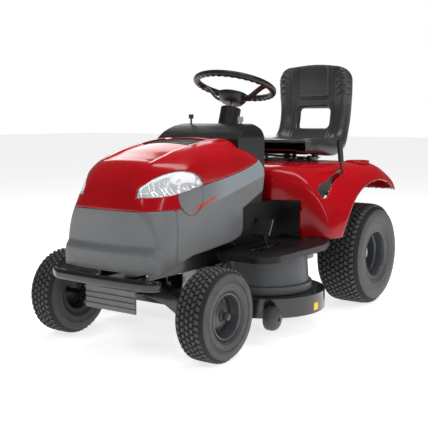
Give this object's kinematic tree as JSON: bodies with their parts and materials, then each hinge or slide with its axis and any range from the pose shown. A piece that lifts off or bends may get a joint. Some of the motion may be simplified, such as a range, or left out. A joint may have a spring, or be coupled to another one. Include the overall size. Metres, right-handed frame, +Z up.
{
  "type": "riding lawn mower",
  "caption": "Garden tractor mower with tilting hood, swivel front axle, steered front wheels, high-back seat, lift lever and a side-discharge deck under the frame.",
  "frame": {"origin": "on the ground below the centre of the machine's box", "axes": "+X to the operator's left, +Y to the rear, +Z up; the front points to -Y"},
  "size_m": [1.112, 1.611, 1.1134],
  "materials": {
    "painted_red": "gloss",
    "grey_plastic": "satin",
    "dark_plastic": "satin",
    "black_paint": "gloss",
    "bright_steel": "satin",
    "cast_alloy": "rough",
    "muffler_steel": "satin",
    "lens": "clear",
    "reflector": "polished",
    "rubber_tread": "matte",
    "rim_paint": "satin",
    "seat_vinyl": "satin",
    "hard_rubber": "satin",
    "red_plastic": "satin"
  },
  "bodies": {
    "chassis": {"chassis_frame": "black_paint", "bumper": "black_paint", "axle_guard": "grey_plastic", "engine": "cast_alloy", "muffler": "muffler_steel", "battery": "dark_plastic", "dashboard": "dark_plastic", "steering_column": "dark_plastic", "centre_tunnel": "dark_plastic", "rear_body": "painted_red", "footrest_left": "dark_plastic", "footrest_right": "dark_plastic", "transaxle": "cast_alloy", "hitch_plate": "black_paint", "seat_bracket": "black_paint"},
    "hood": {"hood_shell": "painted_red", "hood_nose": "grey_plastic", "side_panel_left": "grey_plastic", "side_panel_right": "grey_plastic", "hood_vent": "grey_plastic", "headlight_lens_left": "lens", "headlight_lens_right": "lens", "headlight_reflector_left": "reflector", "headlight_reflector_right": "reflector", "headlight_cover_left": "grey_plastic", "headlight_cover_right": "grey_plastic"},
    "front_axle": {"front_axle_beam": "black_paint"},
    "stub_left": {"stub_axle_left": "bright_steel"},
    "stub_right": {"stub_axle_right": "bright_steel"},
    "tie_rod": {"tie_rod": "bright_steel"},
    "front_wheel_left": {"front_tyre_left": "rubber_tread", "front_rim_left": "rim_paint"},
    "front_wheel_right": {"front_tyre_right": "rubber_tread", "front_rim_right": "rim_paint"},
    "rear_wheel_left": {"rear_tyre_left": "rubber_tread", "rear_rim_left": "rim_paint", "rear_axle_left": "bright_steel"},
    "rear_wheel_right": {"rear_tyre_right": "rubber_tread", "rear_rim_right": "rim_paint", "rear_axle_right": "bright_steel"},
    "deck": {"deck_shell": "black_paint", "deck_belt_cover": "grey_plastic"},
    "deflector": {"discharge_deflector": "dark_plastic"},
    "scalp_left": {"scalp_wheel_left": "hard_rubber"},
    "scalp_right": {"scalp_wheel_right": "hard_rubber"},
    "blade_left": {"blade_spindle_left": "bright_steel"},
    "blade_right": {"blade_spindle_right": "bright_steel"},
    "crank": {"engine_pulley": "bright_steel"},
    "seat_base": {"seat_slider": "black_paint"},
    "seat": {"seat_pan": "black_paint", "seat": "seat_vinyl"},
    "seat_knob": {"seat_knob": "dark_plastic"},
    "lift_lever": {"lift_lever": "black_paint"},
    "drive_lever": {"drive_lever": "black_paint"},
    "brake_pedal": {"brake_pedal": "black_paint"},
    "steering": {"steering_wheel": "dark_plastic", "steering_shaft": "bright_steel"},
    "throttle": {"throttle_lever": "red_plastic"},
    "key": {"ignition_key": "bright_steel"},
    "parking_brake": {"parking_brake_lever": "black_paint"}
  },
  "joints": [
    {"name": "hood_tilt", "type": "hinge", "parent": "chassis", "child": "hood", "pos_m": [0.096, -0.7135, 0.342], "axis": [1, 0, 0], "range_deg": [0, 55]},
    {"name": "axle_pivot", "type": "hinge", "parent": "chassis", "child": "front_axle", "pos_m": [0.096, -0.5835, 0.235], "axis": [0, 1, 0], "range_deg": [-4, 4]},
    {"name": "steer_left", "type": "hinge", "parent": "front_axle", "child": "stub_left", "pos_m": [0.364, -0.5835, 0.165], "axis": [0, 0, 1], "range_deg": [-25, 25]},
    {"name": "steer_right", "type": "hinge", "parent": "front_axle", "child": "stub_right", "pos_m": [-0.172, -0.5835, 0.165], "axis": [0, 0, 1], "range_deg": [-25, 25]},
    {"name": "tie_rod_pivot", "type": "hinge", "parent": "stub_left", "child": "tie_rod", "pos_m": [0.364, -0.4915, 0.179], "axis": [0, 0, 1], "range_deg": [-25, 25]},
    {"name": "front_left_spin", "type": "hinge", "parent": "stub_left", "child": "front_wheel_left", "pos_m": [0.452, -0.5835, 0.165], "axis": [1, 0, 0], "continuous": true},
    {"name": "front_right_spin", "type": "hinge", "parent": "stub_right", "child": "front_wheel_right", "pos_m": [-0.26, -0.5835, 0.165], "axis": [1, 0, 0], "continuous": true},
    {"name": "rear_left_spin", "type": "hinge", "parent": "chassis", "child": "rear_wheel_left", "pos_m": [0.438, 0.5565, 0.2285], "axis": [1, 0, 0], "continuous": true},
    {"name": "rear_right_spin", "type": "hinge", "parent": "chassis", "child": "rear_wheel_right", "pos_m": [-0.246, 0.5565, 0.2285], "axis": [1, 0, 0], "continuous": true},
    {"name": "deck_lift", "type": "slide", "parent": "chassis", "child": "deck", "axis": [0, 0, 1], "range_m": [-0.045, 0]},
    {"name": "lift_lever_turn", "type": "hinge", "parent": "chassis", "child": "lift_lever", "pos_m": [0.301, 0.4065, 0.4], "axis": [1, 0, 0], "range_deg": [0, 46.1]},
    {"name": "deflector_hinge", "type": "hinge", "parent": "deck", "child": "deflector", "pos_m": [-0.444, -0.1145, 0.155], "axis": [0, 1, 0], "range_deg": [0, 60]},
    {"name": "scalp_left_spin", "type": "hinge", "parent": "deck", "child": "scalp_left", "pos_m": [0.501, -0.2805, 0.095], "axis": [1, 0, 0], "continuous": true},
    {"name": "scalp_right_spin", "type": "hinge", "parent": "deck", "child": "scalp_right", "pos_m": [-0.379, -0.2805, 0.095], "axis": [1, 0, 0], "continuous": true},
    {"name": "blade_left_spin", "type": "hinge", "parent": "deck", "child": "blade_left", "pos_m": [0.306, -0.0385, 0.1], "axis": [0, 0, 1], "continuous": true},
    {"name": "blade_right_spin", "type": "hinge", "parent": "deck", "child": "blade_right", "pos_m": [-0.184, -0.0385, 0.1], "axis": [0, 0, 1], "continuous": true},
    {"name": "crank_spin", "type": "hinge", "parent": "chassis", "child": "crank", "pos_m": [0.096, -0.3835, 0.26], "axis": [0, 0, 1], "continuous": true},
    {"name": "seat_slide", "type": "slide", "parent": "chassis", "child": "seat_base", "axis": [0, 1, 0], "range_m": [-0.03, 0.03]},
    {"name": "seat_tilt", "type": "hinge", "parent": "seat_base", "child": "seat", "pos_m": [0.096, 0.4265, 0.67], "axis": [1, 0, 0], "range_deg": [0, 45]},
    {"name": "seat_knob_turn", "type": "hinge", "parent": "seat_base", "child": "seat_knob", "pos_m": [0.246, 0.4415, 0.6603], "axis": [1, 0, 0], "range_deg": [-90, 90]},
    {"name": "drive_lever_turn", "type": "hinge", "parent": "chassis", "child": "drive_lever", "pos_m": [-0.109, 0.4515, 0.48], "axis": [1, 0, 0], "range_deg": [-18, 18]},
    {"name": "brake_pedal_press", "type": "hinge", "parent": "chassis", "child": "brake_pedal", "pos_m": [0.303, -0.1335, 0.306], "axis": [1, 0, 0], "range_deg": [0, 20], "stiffness_Nm_per_rad": 8, "springref_deg": -5.73},
    {"name": "steering_turn", "type": "hinge", "parent": "chassis", "child": "steering", "pos_m": [0.096, 0.0535, 0.98], "axis": [0, 0.2924, 0.9563], "range_deg": [-150, 150]},
    {"name": "throttle_turn", "type": "hinge", "parent": "chassis", "child": "throttle", "pos_m": [-0.029, -0.0905, 0.802], "axis": [1, 0, 0], "range_deg": [-18, 18]},
    {"name": "key_turn", "type": "hinge", "parent": "chassis", "child": "key", "pos_m": [0.221, -0.0865, 0.824], "axis": [0, 0, 1], "range_deg": [-60, 0]},
    {"name": "parking_brake_pull", "type": "hinge", "parent": "chassis", "child": "parking_brake", "pos_m": [0.214, 0.0485, 0.56], "axis": [1, 0, 0], "range_deg": [0, 12]}
  ],
  "couplings": [
    {"joint": "steer_right", "follows": "steer_left", "ratio": 1},
    {"joint": "tie_rod_pivot", "follows": "steer_left", "ratio": -1},
    {"joint": "steering_turn", "follows": "steer_left", "ratio": 6},
    {"joint": "lift_lever_turn", "follows": "deck_lift", "rad_per_m": -17.84},
    {"joint": "blade_right_spin", "follows": "blade_left_spin", "ratio": 1},
    {"joint": "crank_spin", "follows": "blade_left_spin", "ratio": 1.04}
  ]
}
